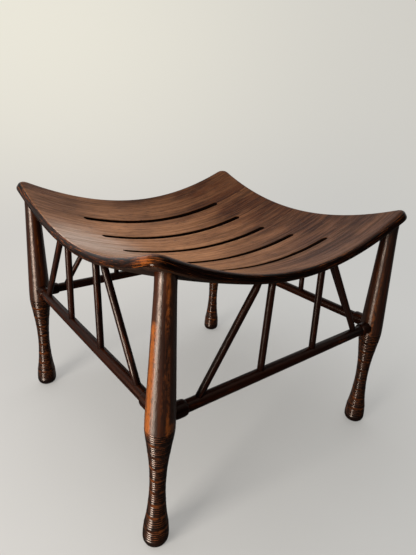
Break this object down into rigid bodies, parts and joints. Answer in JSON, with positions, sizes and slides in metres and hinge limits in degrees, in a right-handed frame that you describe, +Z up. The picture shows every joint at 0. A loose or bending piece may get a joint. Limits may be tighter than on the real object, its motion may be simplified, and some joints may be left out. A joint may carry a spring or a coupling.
{
  "type": "thebes stool",
  "caption": "Low square stool with a dished, slotted wooden seat on turned legs, tied by round stretchers with upright and diagonal struts.",
  "frame": {"origin": "on the floor, under the middle of the seat", "axes": "+X along the seat's slots, +Y to the back, +Z up"},
  "size_m": [0.4386, 0.4376, 0.3763],
  "materials": {
    "seat_wood": "satin varnish, worn",
    "leg_wood": "glossy dark varnish, worn",
    "stretcher_wood": "glossy dark varnish",
    "strut_wood": "glossy dark varnish"
  },
  "bodies": {
    "root": {"seat_board_1": "seat_wood", "seat_board_2": "seat_wood", "seat_board_3": "seat_wood", "seat_board_4": "seat_wood", "seat_board_5": "seat_wood", "seat_board_6": "seat_wood", "leg_front_left": "leg_wood", "leg_front_right": "leg_wood", "leg_back_left": "leg_wood", "leg_back_right": "leg_wood", "stretcher_front": "stretcher_wood", "stretcher_back": "stretcher_wood", "stretcher_left": "stretcher_wood", "stretcher_right": "stretcher_wood", "strut_front_1": "strut_wood", "strut_front_2": "strut_wood", "strut_front_3": "strut_wood", "strut_front_4": "strut_wood", "strut_back_1": "strut_wood", "strut_back_2": "strut_wood", "strut_back_3": "strut_wood", "strut_back_4": "strut_wood", "strut_left_1": "strut_wood", "strut_left_2": "strut_wood", "strut_left_3": "strut_wood", "strut_left_4": "strut_wood", "strut_right_1": "strut_wood", "strut_right_2": "strut_wood", "strut_right_3": "strut_wood", "strut_right_4": "strut_wood"}
  },
  "joints": []
}
